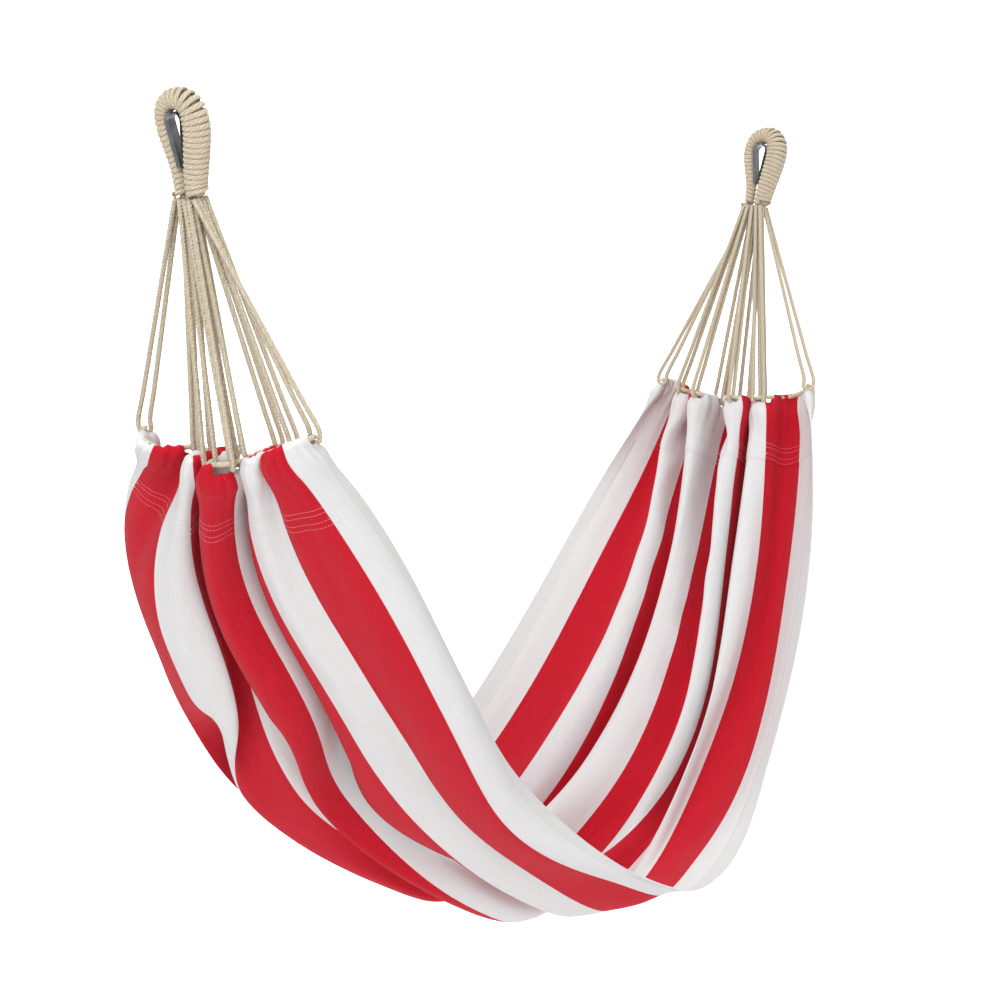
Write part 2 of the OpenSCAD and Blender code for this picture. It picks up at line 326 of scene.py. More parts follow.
def canvas_material():
    """Woven cotton: striped in the warp, with slubs, lighter weft flecks and painted shade on the side hems.
    """
    mat, tree, bsdf = new_material("canvas")
    uv = node(tree, "ShaderNodeUVMap", {"uv_map": "UVMap"}).outputs[0]
    parts = node(tree, "ShaderNodeSeparateXYZ", Vector=uv)
    across, down = parts.outputs[0], parts.outputs[1]
    fuzz = noise(tree, stretched(tree, uv, (1400, 1400, 1)), 1, 0)
    waver = maths(tree, "MULTIPLY", maths(tree, "SUBTRACT", fuzz, 0.5), WAVER)
    wavered = maths(tree, "ADD", across, waver)
    black, white = (0, 0, 0, 1), (1, 1, 1, 1)
    stops = [(place / 1000, white if i % 2 else black) for i, place in enumerate(STRIPES)]
    is_red = ramp(tree, wavered, stops, "CONSTANT")
    warp = noise(tree, stretched(tree, uv, (800, 22, 1)), 1, 2)
    weft = noise(tree, stretched(tree, uv, (150, 1200, 1)), 1, 2)
    cloudy = noise(tree, stretched(tree, uv, (9, 4, 1)), 1, 2)
    threads = maths(tree, "MULTIPLY", maths(tree, "ADD", warp, weft), 0.5)
    flecks = ramp(tree, threads, [(0.40, black), (0.66, white)])
    red = mixed(tree, flecks, RED_DEEP, RED)
    red = mixed(tree, ramp(tree, weft, [(0.55, black), (0.85, white)]), red, RED_FLECK)
    red = mixed(tree, maths(tree, "MULTIPLY", cloudy, 0.25), red, RED_FLECK)
    pale = mixed(tree, flecks, WHITE_SHADE, WHITE)
    colour = mixed(tree, is_red, pale, red)
    # painted shade: the side hems are mixed towards grey
    hem_shade_mask = ramp(tree, across, [(0, white), (SIDE_HEM, black), (1 - SIDE_HEM, white)], "CONSTANT")
    colour = mixed(tree, maths(tree, "MULTIPLY", hem_shade_mask, 0.35), colour, PAINTED_HEM_SHADE)
    # painted shade: a dark grey line along the inner edge of each side hem
    seams = (SIDE_HEM - SEAM, SIDE_HEM + SEAM_PAST, 1 - SIDE_HEM - SEAM_PAST, 1 - SIDE_HEM + SEAM)
    stops = [(0, black)] + [(x, (white, black)[i % 2]) for i, x in enumerate(seams)]
    seam_shade_mask = ramp(tree, across, stops, "CONSTANT")
    colour = mixed(tree, maths(tree, "MULTIPLY", seam_shade_mask, 0.45), colour, PAINTED_SEAM_SHADE)
    plug(tree, bsdf, Base_Color=colour, Roughness=0.85, Specular_IOR_Level=0.2, Sheen_Weight=0.04,
         Sheen_Roughness=0.5)
    phases = [maths(tree, "MULTIPLY", way, 2 * math.pi / WEAVE) for way in (across, down)]
    woven = maths(tree, "MULTIPLY", *(maths(tree, "SINE", phase) for phase in phases))
    bumped(tree, bsdf, maths(tree, "ADD", woven, maths(tree, "MULTIPLY", weft, 1.5)), 0.0002, 0.6)
    return mat


def cord_material(name, light, dark, yarn=0.0022):
    """Laid cotton cord: fine yarns, one every yarn metres, lean across each strand."""
    mat, tree, bsdf = new_material(name)
    uv = node(tree, "ShaderNodeUVMap", {"uv_map": "UVMap"}).outputs[0]
    parts = node(tree, "ShaderNodeSeparateXYZ", Vector=uv)
    place = node(tree, "ShaderNodeTexCoord").outputs["Object"]
    slant = maths(tree, "ADD", maths(tree, "MULTIPLY", parts.outputs[1], 2 * math.pi / yarn),
                  maths(tree, "MULTIPLY", parts.outputs[0], YARN_SLANT))
    yarns = maths(tree, "MULTIPLY_ADD", maths(tree, "SINE", slant), 0.5, 0.5)
    fibres = noise(tree, place, 1800, 3)
    tint = noise(tree, place, 60, 2)
    share = maths(tree, "ADD", maths(tree, "MULTIPLY", yarns, 0.65), maths(tree, "MULTIPLY", fibres, 0.35))
    colour = mixed(tree, share, dark, light)
    colour = mixed(tree, maths(tree, "MULTIPLY", tint, 0.2), colour, AGED)
    plug(tree, bsdf, Base_Color=colour, Roughness=0.9, Sheen_Weight=0.3)
    bumped(tree, bsdf, maths(tree, "ADD", yarns, fibres), 0.0006, 0.8)
    return mat


def steel_material():
    """Galvanised pressed steel, brushed and slightly worn."""
    mat, tree, bsdf = new_material("thimble_steel")
    place = node(tree, "ShaderNodeTexCoord").outputs["Object"]
    brushed = noise(tree, stretched(tree, place, (1500, 120, 120)), 1, 4)
    patches = noise(tree, place, 90, 3)
    colour = mixed(tree, patches, (0.08, 0.085, 0.09, 1), (0.34, 0.35, 0.36, 1))
    rough = maths(tree, "MULTIPLY_ADD", brushed, 0.35, 0.15)
    plug(tree, bsdf, Base_Color=colour, Metallic=1, Roughness=rough)
    bumped(tree, bsdf, brushed, 0.0001, 0.3)
    return mat


def thread_material(name, dark, light):
    mat, tree, bsdf = new_material(name)
    place = node(tree, "ShaderNodeTexCoord").outputs["Object"]
    colour = mixed(tree, noise(tree, place, 900, 2), dark, light)
    plug(tree, bsdf, Base_Color=colour, Roughness=0.8)
    return mat


CANVAS = canvas_material()
CLEW_CORD = cord_material("clew_cord", (0.86, 0.78, 0.62, 1), (0.48, 0.39, 0.26, 1), 0.0034)
WHIPPING_CORD = cord_material("whipping_cord", (0.74, 0.66, 0.52, 1), (0.38, 0.29, 0.18, 1), 0.0030)
CORE_CORD = cord_material("core_cord", (0.60, 0.50, 0.36, 1), (0.34, 0.26, 0.16, 1))
KNOT_CORD = cord_material("knot_cord", (0.50, 0.30, 0.14, 1), (0.26, 0.13, 0.06, 1), 0.0012)
STEEL = steel_material()
THREADS = (thread_material("pale_thread", (0.62, 0.62, 0.62, 1), (0.72, 0.72, 0.72, 1)),
           thread_material("pink_thread", (0.60, 0.14, 0.18, 1), (0.76, 0.26, 0.30, 1)))


def dressed(obj, material, body=None):
    """Gives a piece its material, its slot and, if it doesn't bend, its body."""
    obj.data.materials.clear()
    obj.data.materials.append(material)
    if body:
        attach(obj, body)


# ---- clews and casing ropes ----

def casing_z(p):
    return -THROAT_DROP - np.sqrt(CLEW_LENGTH ** 2 - np.sum(np.square(p), -1))


CASING_POINTS = np.column_stack([CASING, casing_z(CASING)])
CASING_LINE = spline(CASING_POINTS, 0.002)
UP = np.array([0, 0, 1.0])
GRID = CLEW_D + 0.0006               # between neighbouring strands at the throat
THROAT_TOP = -THROAT_DROP - 0.002    # where the strands start, inside the whipping
STRAIGHT = (0, 0.1, 0.3, 0.5, 0.7, 0.86)  # places on a strand's straight run
AIM = 0.008                          # how far above the rope's sides that run points
LEG_TOP = 0.009                      # how far above them the strand is plumb
FLEX_START, FLEX_END = -0.0935, -0.150    # how far down the load the clews would bend when the bed swings; their places at each end are worked out below but not used
CLEW_RADIUS = CLEW_D / 2 * 1.10      # to the crests of the strands, as the grooves between are deep
CLEW_LAY, CASING_LAY = 0.0135, 0.024


def clew_route(index, cell_a, cell_b):
    """Down from the throat, under the casing rope and back up, in the left end's own axes."""
    n = len(CASING) - 1
    run = unit(CASING[min(index + 1, n)] - CASING[max(index - 1, 0)])
    hang = CASING_POINTS[index]
    out = np.array([run[1], -run[0], 0]) * (CASING_D / 2 + CLEW_D / 2 + GAP)
    reach = np.linalg.norm(out)
    top_a, top_b = (np.array([GRID * cell[1], GRID * cell[0], THROAT_TOP]) for cell in (cell_a, cell_b))
    flip = -1 if (top_a - top_b) @ out < 0 else 1
    leg_a, leg_b = hang + flip * out, hang - flip * out
    down = [top_a + t * (leg_a + AIM * UP - top_a) for t in STRAIGHT]
    back = [top_b + t * (leg_b + AIM * UP - top_b) for t in STRAIGHT[::-1]]
    turn = [
        hang + flip * math.cos(math.radians(a)) * out - math.sin(math.radians(a)) * reach * UP
        for a in range(0, 181, 30)
    ]
    return np.array(down + [leg_a + LEG_TOP * UP] + turn + [leg_b + LEG_TOP * UP] + back)


for side, placed in (("left", leaned), ("right", lambda p: turned(leaned(p)))):
    flex_start = placed(np.array([0, 0, FLEX_START]))
    flex_end = placed(np.array([0, 0, FLEX_END]))
    for number, (index, cell_a, cell_b) in enumerate(CLEWS, 1):
        path = placed(spline(clew_route(index, cell_a, cell_b), 0.0012))
        clew = laid_rope(f"{side}_clew_cord_{number}", path, CLEW_RADIUS, CLEW_LAY, groove=0.32)
        dressed(clew, CLEW_CORD)
        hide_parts(f"{side}_clew_{number}")
        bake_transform(clew)
    path = placed(CASING_LINE)
    rope = laid_rope(f"{side}_casing_cord", path, CASING_D / 2, CASING_LAY, first=(0, 0, 1))
    dressed(rope, CLEW_CORD, "bed")
    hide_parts(f"{side}_casing_rope")

# ---- eyes ----

WHIPPING_PITCH = 0.0067   # about what one turn takes up
WHIPPING_LAY = 0.019
WIDEST = 0.0074           # a turn flattens to no more than this where turns fan out
TURN_STEPS = 36           # points in one turn
TURN_SIDES = 12
CORE_LAY = 0.12
KNOT_RADIUS = 0.0021      # of the knot's two turns
KNOT_Y, KNOT_Z = 0.0245, -0.0905
KNOT_DROP = 0.0045        # from its first turn to its last
KNOT_CORD_RADIUS, KNOT_LAY = 0.0013, 0.004


def eye_line(step):
    """The middle of the eye's bundle with its radius: x, y, z, r."""
    return spline(np.column_stack([np.zeros(len(EYE)), EYE]), step)


def whipping_turns():
    """One cord wound round the bundle, flattened where the turns crowd together."""
    line = eye_line(0.0005)
    run = along(line[:, :3])
    turns = round(run[-1] / WHIPPING_PITCH) - 1
    pitch = (run[-1] - WHIPPING) / turns
    phase = np.linspace(0, turns, turns * TURN_STEPS + 1)

    def wound(turn, facing):
        """Where the cord's middle is at this many turns on, on the side of the bundle that facing says."""
        s = WHIPPING / 2 + turn * pitch
        radius = np.interp(s, run, line[:, 3]) - WHIPPING / 2
        t = unit(read(s + 0.002, run, line[:, :3]) - read(s - 0.002, run, line[:, :3]))
        x = np.broadcast_to([1.0, 0, 0], t.shape)
        y = np.cross(t, x)
        a = 2 * math.pi * facing[:, None]
        out = np.cos(a) * x + np.sin(a) * y
        return read(s, run, line[:, :3]) + radius[:, None] * out, out

    here, out = wound(phase, phase)
    after, _ = wound(np.minimum(phase + 1, turns), phase)
    before, _ = wound(np.minimum(phase, turns - 1), phase)
    spacing = after - before
    wide = np.minimum(np.linalg.norm(spacing, axis=1), WIDEST)
    axial = unit(spacing)
    run = along(here)
    around = np.arange(TURN_SIDES) * 2 * math.pi / TURN_SIDES
    twist = (2 * math.pi * run / WHIPPING_LAY)[:, None]
    lobe = lobed(around[None, :] - twist, 3, 0.13)
    w = 0.54 * wide[:, None] * np.cos(around) * lobe
    h = (WHIPPING / 2 + 0.0003) * np.sin(around) * lobe
    verts = here[:, None, :] + w[..., None] * axial[:, None, :] + h[..., None] * out[:, None, :]
    u = np.abs(((around[None, :] - twist) / (2 * math.pi)) % 1 * 2 - 1) * 3
    v = np.broadcast_to(run[:, None], u.shape)
    return verts.reshape(-1, 3), np.stack([u, v], -1).reshape(-1, 2), len(here)


def knot_path():
    """Two small turns and a short tail, in the left end's own axes."""
    a = np.linspace(0, 4.2 * math.pi, 40)
    x, y = KNOT_RADIUS * np.cos(a), KNOT_Y + KNOT_RADIUS * np.sin(a)
    coil = np.column_stack([x, y, KNOT_Z - KNOT_DROP * a / a[-1]])
    tail = [[0.0005, 0.0250, -0.0985], [0.0000, 0.0246, -0.1015], [0.0004, 0.0243, -0.1040]]
    return np.vstack([coil, tail])


turn_verts, turn_uvs, turn_rings = whipping_turns()
bundle = eye_line(0.003)
for side, placed in (("left", leaned), ("right", lambda p: mirrored(leaned(p)))):
    faces = tube_faces(turn_rings, TURN_SIDES)
    if side == "right":
        faces = [face[::-1] for face in faces]
    winding = add_mesh(f"{side}_eye_winding", placed(turn_verts), faces, turn_uvs)
    dressed(winding, WHIPPING_CORD, "eyes")
    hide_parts(f"{side}_eye_whipping")
    core = laid_rope(f"{side}_eye_bundle", placed(bundle[:, :3]), bundle[:, 3] - WHIPPING - GAP, CORE_LAY,
                     strands=7, groove=0.16)
    dressed(core, CORE_CORD, "eyes")
    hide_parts(f"{side}_eye_core")
    knot = laid_rope(f"{side}_knot", placed(spline(knot_path(), 0.0005)), KNOT_CORD_RADIUS, KNOT_LAY,
                     per_strand=3)
    dressed(knot, KNOT_CORD, "eyes")
    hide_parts(f"{side}_whipping_knot")
    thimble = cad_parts[f"{side}_thimble"]
    thimble.data.materials.clear()
    thimble.data.materials.append(STEEL)

# ---- the hanging line of the bed ----

def bow(k):
    """The value whose sinh is k times itself."""
    lo, hi = 0.001, 10.0
    for _ in range(50):
        m = (lo + hi) / 2
        if math.sinh(m) / m < k:
            lo = m
        else:
            hi = m
    return lo


def hanging(p, q, length, t):
    """Points at fractions t of a hanging line of a given length from p to q, both (x, z)."""
    dx, dz = q[0] - p[0], q[1] - p[1]
    b = bow(math.sqrt(length * length - dz * dz) / dx)
    a = dx / (2 * b)
    low_x = (p[0] + q[0]) / 2 - a * math.atanh(dz / length)
    low_z = (p[1] + q[1]) / 2 - length * math.cosh(b) / math.sinh(b) / 2
    s = t * length / a + math.sinh((p[0] - low_x) / a)
    return np.stack([low_x + a * np.arcsinh(s), low_z + a * np.sqrt(1 + s * s)], -1)


def rounded(p, q, length, t):
    """The same line with its lowest point rounded off, and straight up the load before its start."""
    u = 1 - np.maximum(t, 0)
    high = 1 - np.sqrt(u * u + BEND * BEND * (1 - u))
    x = hanging(p, q, length, np.maximum(t, 0))[..., 0]
    z = hanging(p, q, length, high)[..., 1]
    rise = -np.minimum(t, 0) * length
    return np.stack([x - rise * math.sin(LEAN), z + rise * math.cos(LEAN)], -1)


def middle_line(t):
    p = leaned([0, 0, -THROAT_DROP - CLEW_LENGTH - START_DROP])
    return rounded((p[0], p[2]), (HOOK_SPAN / 2, -TROUGH_DEPTH), BED_LENGTH / 2 - START_DROP, t)


def edge_line(t):
    corner = CASING_POINTS[0]
    p = leaned([0, 0, corner[2] - START_DROP])
    out = MID_HALF_WIDTH + corner[1]
    half = BED_LENGTH / 2 - START_DROP
    return rounded((p[0], p[2]), (HOOK_SPAN / 2, -EDGE_DEPTH), math.sqrt(half * half - out * out), t)


# ---- the folds of the bed ----

# Sections of the bed from end to end. Each row is a place across the cloth (m, from the near edge), then
# at an end the casing's plan (mm: inwards, along the hem) and elsewhere the sideways place (share of the
# half width) and depth (mm, inwards).
LEFT_END = [
    [0.000, 2, -141], [0.030, -18, -141], [0.060, -34, -137], [0.082, -40, -131], [0.130, -44, -112],
    [0.177, -34, -98], [0.190, -24, -97], [0.205, -20, -93], [0.220, -30, -87], [0.240, -42, -80],
    [0.267, -38, -69], [0.290, -22, -64], [0.330, 8, -62], [0.360, 22, -57], [0.400, 10, -50],
    [0.430, -18, -48], [0.452, -38, -46], [0.490, -54, -32], [0.530, -57, -12], [0.548, -48, -4],
    [0.580, -24, 0], [0.620, 8, 4], [0.645, 20, 12], [0.670, 8, 20], [0.700, -14, 24],
    [0.733, -34, 28], [0.780, -26, 38], [0.823, -6, 46], [0.850, 0, 56], [0.870, -8, 68],
    [0.900, -26, 82], [0.918, -32, 92], [0.960, -30, 116], [1.000, 0, 141],
]
RIGHT_END = [
    [0.000, 0, -141], [0.040, -22, -130], [0.082, -33, -110], [0.120, -32, -90], [0.145, -20, -76],
    [0.165, -4, -71], [0.177, 4, -64], [0.210, 5, -50], [0.240, -6, -41], [0.267, -24, -37],
    [0.300, -35, -30], [0.330, -14, -24], [0.362, 14, -23], [0.400, 24, -12], [0.430, 16, -2],
    [0.452, -8, 0], [0.480, -40, 3], [0.510, -58, 14], [0.535, -58, 30], [0.548, -50, 40],
    [0.570, -20, 46], [0.600, 14, 47], [0.630, 24, 57], [0.650, 14, 67], [0.680, -18, 69],
    [0.715, -39, 76], [0.733, -32, 84], [0.770, -4, 88], [0.800, 6, 98], [0.830, -4, 109],
    [0.860, -24, 112], [0.890, -38, 120], [0.918, -36, 130], [0.960, -20, 140], [1.000, 0, 141],
]
LEFT_TOP = [
    [0.000, -0.94, 28], [0.040, -0.99, 2], [0.082, -0.87, -14], [0.130, -0.62, -24], [0.177, -0.36, -20],
    [0.225, -0.18, -34], [0.267, -0.01, -26], [0.290, 0.06, -20], [0.315, 0.11, -8], [0.340, 0.13, 16],
    [0.375, 0.15, 28], [0.410, 0.16, 16], [0.435, 0.17, -8], [0.452, 0.20, -24], [0.500, 0.32, -46],
    [0.548, 0.46, -34], [0.570, 0.48, -14], [0.600, 0.49, 10], [0.638, 0.50, 22], [0.680, 0.51, 8],
    [0.705, 0.52, -14], [0.733, 0.54, -34], [0.780, 0.67, -46], [0.823, 0.82, -42], [0.870, 1.04, -34],
    [0.918, 1.24, -10], [0.960, 1.30, 14], [1.000, 1.24, 34],
]
LEFT_HIGH = [
    [0.000, -0.69, 30], [0.040, -0.80, 4], [0.082, -0.71, -12], [0.130, -0.54, -18], [0.177, -0.35, -14],
    [0.225, -0.20, -24], [0.267, -0.06, -20], [0.290, 0.02, -18], [0.315, 0.10, -8], [0.340, 0.13, 14],
    [0.375, 0.15, 28], [0.410, 0.16, 22], [0.435, 0.17, 0], [0.452, 0.19, -16], [0.500, 0.31, -36],
    [0.548, 0.43, -28], [0.570, 0.47, -12], [0.600, 0.52, 8], [0.638, 0.62, -3], [0.665, 0.72, -5],
    [0.690, 0.73, -17], [0.733, 0.61, -28], [0.780, 0.74, -42], [0.823, 0.86, -42], [0.870, 1.06, -26],
    [0.918, 1.17, 4], [0.960, 1.16, 34], [1.000, 1.10, 58],
]
LEFT_LOW = [
    [0.000, -0.50, 36], [0.040, -0.60, 6], [0.082, -0.53, -10], [0.130, -0.39, -12], [0.177, -0.25, -8],
    [0.200, -0.19, 4], [0.220, -0.13, -4], [0.267, 0.03, -12], [0.310, 0.17, -14], [0.362, 0.32, -6],
    [0.385, 0.36, 10], [0.410, 0.39, 16], [0.452, 0.43, -4], [0.475, 0.46, -20], [0.500, 0.49, -24],
    [0.525, 0.50, -2], [0.548, 0.52, 10], [0.570, 0.54, 16], [0.600, 0.59, -6], [0.638, 0.66, -20],
    [0.690, 0.83, -30], [0.733, 0.95, -34], [0.770, 1.00, -16], [0.800, 1.00, 12], [0.823, 1.02, 20],
    [0.860, 1.05, -6], [0.900, 1.06, -24], [0.918, 1.07, -16], [0.960, 1.05, 14], [1.000, 1.00, 40],
]
MIDDLE = [
    [0.000, -1.00, 0], [0.040, -0.91, 10], [0.082, -0.81, 14], [0.130, -0.68, 8], [0.177, -0.54, 2],
    [0.220, -0.44, -4], [0.267, -0.31, -6], [0.285, -0.27, 4], [0.320, -0.22, 22], [0.345, -0.18, 26],
    [0.370, -0.16, 14], [0.410, -0.14, -14], [0.450, -0.04, -26], [0.500, 0.09, -26], [0.548, 0.22, -20],
    [0.570, 0.25, -2], [0.600, 0.28, 18], [0.630, 0.31, 20], [0.660, 0.34, -2], [0.690, 0.38, -20],
    [0.733, 0.50, -26], [0.780, 0.62, -22], [0.823, 0.72, -14], [0.840, 0.75, 0], [0.860, 0.77, 8],
    [0.880, 0.80, -2], [0.918, 0.86, -10], [1.000, 1.00, 0],
]
RIGHT_LOW = [
    [0.000, -0.95, 0], [0.040, -0.88, -8], [0.082, -0.81, -18], [0.130, -0.70, -24], [0.177, -0.57, -14],
    [0.200, -0.56, 2], [0.220, -0.55, 8], [0.267, -0.55, -14], [0.300, -0.53, -26], [0.340, -0.51, -14],
    [0.362, -0.50, 0], [0.390, -0.48, 14], [0.420, -0.45, 18], [0.452, -0.41, 2], [0.480, -0.36, -20],
    [0.510, -0.27, -24], [0.548, -0.14, -12], [0.580, -0.06, 0], [0.610, 0.02, 6], [0.638, 0.09, -4],
    [0.665, 0.12, -22], [0.700, 0.16, -26], [0.733, 0.20, -12], [0.760, 0.26, 6], [0.790, 0.34, 10],
    [0.823, 0.38, -4], [0.860, 0.50, -16], [0.918, 0.72, -14], [0.960, 0.84, -6], [1.000, 0.97, 0],
]
RIGHT_HIGH = [
    [0.000, -1.00, 0], [0.040, -0.88, -14], [0.082, -0.75, -30], [0.130, -0.64, -38], [0.177, -0.55, -18],
    [0.200, -0.51, -6], [0.225, -0.46, 6], [0.250, -0.42, 0], [0.267, -0.40, -8], [0.300, -0.38, -24],
    [0.340, -0.34, -14], [0.370, -0.32, 6], [0.400, -0.29, 20], [0.425, -0.27, 16], [0.452, -0.25, 2],
    [0.490, -0.21, -28], [0.520, -0.13, -24], [0.548, -0.06, -6], [0.580, -0.01, 10], [0.605, 0.03, 18],
    [0.630, 0.07, 8], [0.638, 0.085, 4], [0.665, 0.12, -16], [0.700, 0.18, -12], [0.733, 0.25, 0],
    [0.755, 0.29, 10], [0.775, 0.32, 14], [0.800, 0.355, 8], [0.823, 0.42, -6], [0.850, 0.50, -18],
    [0.880, 0.60, -20], [0.918, 0.74, -12], [0.960, 0.87, -2], [1.000, 1.00, 0],
]
# How far along the bed they are: left end, top, high, low, middle, right low, high, end
STATIONS = (0, 0.12, 0.42, 0.66, 1.0, 1.32, 1.72, 2.0)
ROWS, COLUMNS = 161, 81
# How wide the cloth is across its folds, by the distance from the nearer end
WIDTH_AT = (0, 0.05, 0.25, 1)
WIDTHS = (0.70, 0.76, 0.93, 0.96)
SHALLOWEST, DEEPEST = 0.6, 1.6    # how deep a row's folds may get, times their depth above
LEVELLING = 8        # rows to each side that share one depth of folds
TURN_FROM = 0.6      # from this share of the half bed on, the folds turn over a longer stretch,
TURNING = 0.04       # so that they don't cross inside the bend at its lowest point

# How the cloth settles
STEPS, SWEEPS = 40, 6
DAMPING = 0.9
WEIGHT = np.array([0, 0, -0.00004])
MEMORY = 0.01        # how strongly the cloth holds the folds it was laid in
LOWEST = -1.187
TAUT = 0.97          # how much the weight has to draw the cloth straight along its length
EASE = 0.4           # how far folds that were laid too narrow open towards the cloth's flat width
# Links between the cloth's points: rows down, columns over, how hard they pull, how hard they push
LINKS = (
    (1, 0, 0.5, 0.05), (0, 1, 0.5, 0.4), (1, 1, 0.15, 0), (1, -1, 0.15, 0),
    (2, 0, 0, 0.06), (4, 0, 0, 0.08), (0, 2, 0, 0.03),
)
EVENING = 20         # passes that even out the movement, so no tuck folds through itself:
EVEN_FROM = 0.5      # in full from this far from the bed's ends,
EVEN_ENDS = 0.12     # and by this much nearer to them


def through(points, x):
    """A smooth curve through (x, values...) points, read at x."""
    shrink = 0.002  # of the values, so that the curve's points stay even in x
    p = np.array(points, float)
    line = spline(p * [1, *(shrink for _ in p[0][1:])], 0.0005)
    return read(x, line[:, 0], line[:, 1:]) / shrink


def end_section(points, across):
    """Sideways share, depth and rise of the cloth where it hangs on a casing rope."""
    plan = 0.001 * through(points, across)
    share = plan[:, 1] / -CASING[0][1]
    m = np.abs(share) ** STEEPNESS
    level = casing_z(np.zeros(2)) * (1 - m) + casing_z(CASING[0]) * m
    return np.stack([share, plan[:, 0], casing_z(plan) - level], -1)


def free_section(points, across):
    """The same where the cloth hangs free."""
    found = through(points, across)
    return np.stack([found[:, 0], 0.001 * found[:, 1], 0 * across], -1)


def between(stations, values, x):
    """A smooth curve through values at the stations, read at x."""
    rises = np.diff(values, axis=0) / np.diff(stations)[:, None, None]
    slopes = np.concatenate([rises[:1], (rises[1:] + rises[:-1]) / 2, rises[-1:]])
    k = np.clip(np.searchsorted(stations, x, side="right") - 1, 0, len(stations) - 2)
    span = np.diff(stations)[k][:, None, None]
    f = (x - np.array(stations)[k])[:, None, None] / span
    return (values[k] * (1 + 2 * f) * (1 - f) ** 2 + values[k + 1] * f * f * (3 - 2 * f)
            + slopes[k] * span * f * (1 - f) ** 2 - slopes[k + 1] * span * f * f * (1 - f))


def bed_shape():
    """The bed as first laid out: ROWS along its length, COLUMNS across it, before it settles."""
    across = np.linspace(0, BED_WIDTH, COLUMNS)
    inner = (LEFT_TOP, LEFT_HIGH, LEFT_LOW, MIDDLE, RIGHT_LOW, RIGHT_HIGH)
    free = [free_section(p, across) for p in inner]
    values = np.array([end_section(LEFT_END, across), *free, end_section(RIGHT_END, across)])
    distance = np.linspace(0, BED_LENGTH, ROWS)
    share, depth, rise = np.moveaxis(between(STATIONS, values, distance), -1, 0)
    from_end = np.minimum(distance, BED_LENGTH - distance)
    t = (from_end - START_DROP) / (BED_LENGTH / 2 - START_DROP)
    half = -CASING[0][1]
    wide = half + (MID_HALF_WIDTH - half) * smooth_step(t)[:, None] ** FLARE
    y = wide * share
    m = np.abs(share) ** STEEPNESS
    a, b = middle_line(t)[:, None, :], edge_line(t)[:, None, :]
    base = a * (1 - m[..., None]) + b * m[..., None]
    reach = 0.01 + TURNING * smooth_step((t - TURN_FROM) / 0.3)
    slope = unit(middle_line(t + reach) - middle_line(t - reach))
    slope[ROWS // 2] = (1, 0)
    normal = np.stack([-slope[:, 1], slope[:, 0]], -1)[:, None, :]

    def folded(deep):
        """The cloth with each row's folds this many times as deep as drawn."""
        x = base[..., 0] + deep[:, None] * depth * normal[..., 0] - rise * math.sin(LEAN)
        z = base[..., 1] + deep[:, None] * depth * normal[..., 1] + rise * math.cos(LEAN)
        return np.stack([x, y, z], -1)

    wanted = np.interp(from_end, WIDTH_AT, WIDTHS)
    low, high = np.full(ROWS, SHALLOWEST), np.full(ROWS, DEEPEST)
    for _ in range(20):
        deep = (low + high) / 2
        width = np.sum(np.linalg.norm(np.diff(folded(deep), axis=1), axis=2), axis=1)
        low = np.where(width < wanted, deep, low)
        high = np.where(width < wanted, high, deep)
    window = np.ones(2 * LEVELLING + 1) / (2 * LEVELLING + 1)
    shape = folded(np.convolve(np.pad(deep, LEVELLING, "edge"), window, "valid"))
    in_right = distance > BED_LENGTH / 2
    shape[in_right, :, 0] = HOOK_SPAN - shape[in_right, :, 0]
    return shape


def rows_from_end(rows):
    """How far each row of the cloth is from the nearer end."""
    return np.minimum(np.arange(rows), rows - 1 - np.arange(rows)) * BED_LENGTH / (rows - 1)


def cloth_links(rows, columns, shape):
    """Pairs of cloth points with their distance apart in flat cloth and how hard they pull and push."""
    index = np.arange(rows * columns).reshape(rows, columns)
    cut = np.sum(np.linalg.norm(np.diff(shape, axis=0), axis=2), axis=0) / (rows - 1) * TAUT
    flat = BED_WIDTH / (columns - 1) * (0.80 + 0.15 * smooth_step(rows_from_end(rows) / 0.25))
    laid = np.linalg.norm(np.diff(shape, axis=1), axis=2)
    pleated = np.column_stack([laid, laid[:, -1]]) * (1 - EASE) + flat[:, None] * EASE
    links = []
    for down, over, pull, push in LINKS:
        a = index[:rows - down, max(0, -over):columns - max(0, over)]
        b = index[down:, max(0, over):columns + min(0, over)]
        i, j = np.indices(a.shape)
        turn = i // down if down else j // over
        apart = np.hypot(cut[j] * down, pleated[i, j] * abs(over))
        for half in (0, 1):
            these = turn % 2 == half
            links.append((a[these], b[these], apart[these], pull, push))
    return links


def settled(shape):
    """Lets the cloth hang between its gathered ends: it hardly stretches, has weight and keeps its folds."""
    rows, columns = shape.shape[:2]
    links = cloth_links(rows, columns, shape)
    start = shape.reshape(-1, 3)
    place, before = start.copy(), start.copy()
    for _ in range(STEPS):
        moved = place + DAMPING * (place - before) + WEIGHT + MEMORY * (start - place)
        before = place
        for _ in range(SWEEPS):
            for a, b, apart, pull, push in links:
                gap = moved[b] - moved[a]
                length = np.linalg.norm(gap, axis=1)
                shift = gap * (np.where(length > apart, pull, push) * (length - apart) / length)[:, None]
                moved[a] += shift
                moved[b] -= shift
            moved[:columns], moved[-columns:] = start[:columns], start[-columns:]
        moved[:, 2] = np.maximum(moved[:, 2], LOWEST)
        place = moved
    amount = smooth_step((rows_from_end(rows) - EVEN_FROM) / 0.2)[:, None, None]
    amount = EVEN_ENDS + (1 - EVEN_ENDS) * amount
    drift = (place - start).reshape(rows, columns, 3)
    for _ in range(EVENING):
        drift[1:-1] += amount[1:-1] * ((drift[2:] + drift[:-2]) / 4 - drift[1:-1] / 2)
        drift[:, 1:-1] += amount * ((drift[:, 2:] + drift[:, :-2]) / 4 - drift[:, 1:-1] / 2)
    return shape + drift


bed = settled(bed_shape())


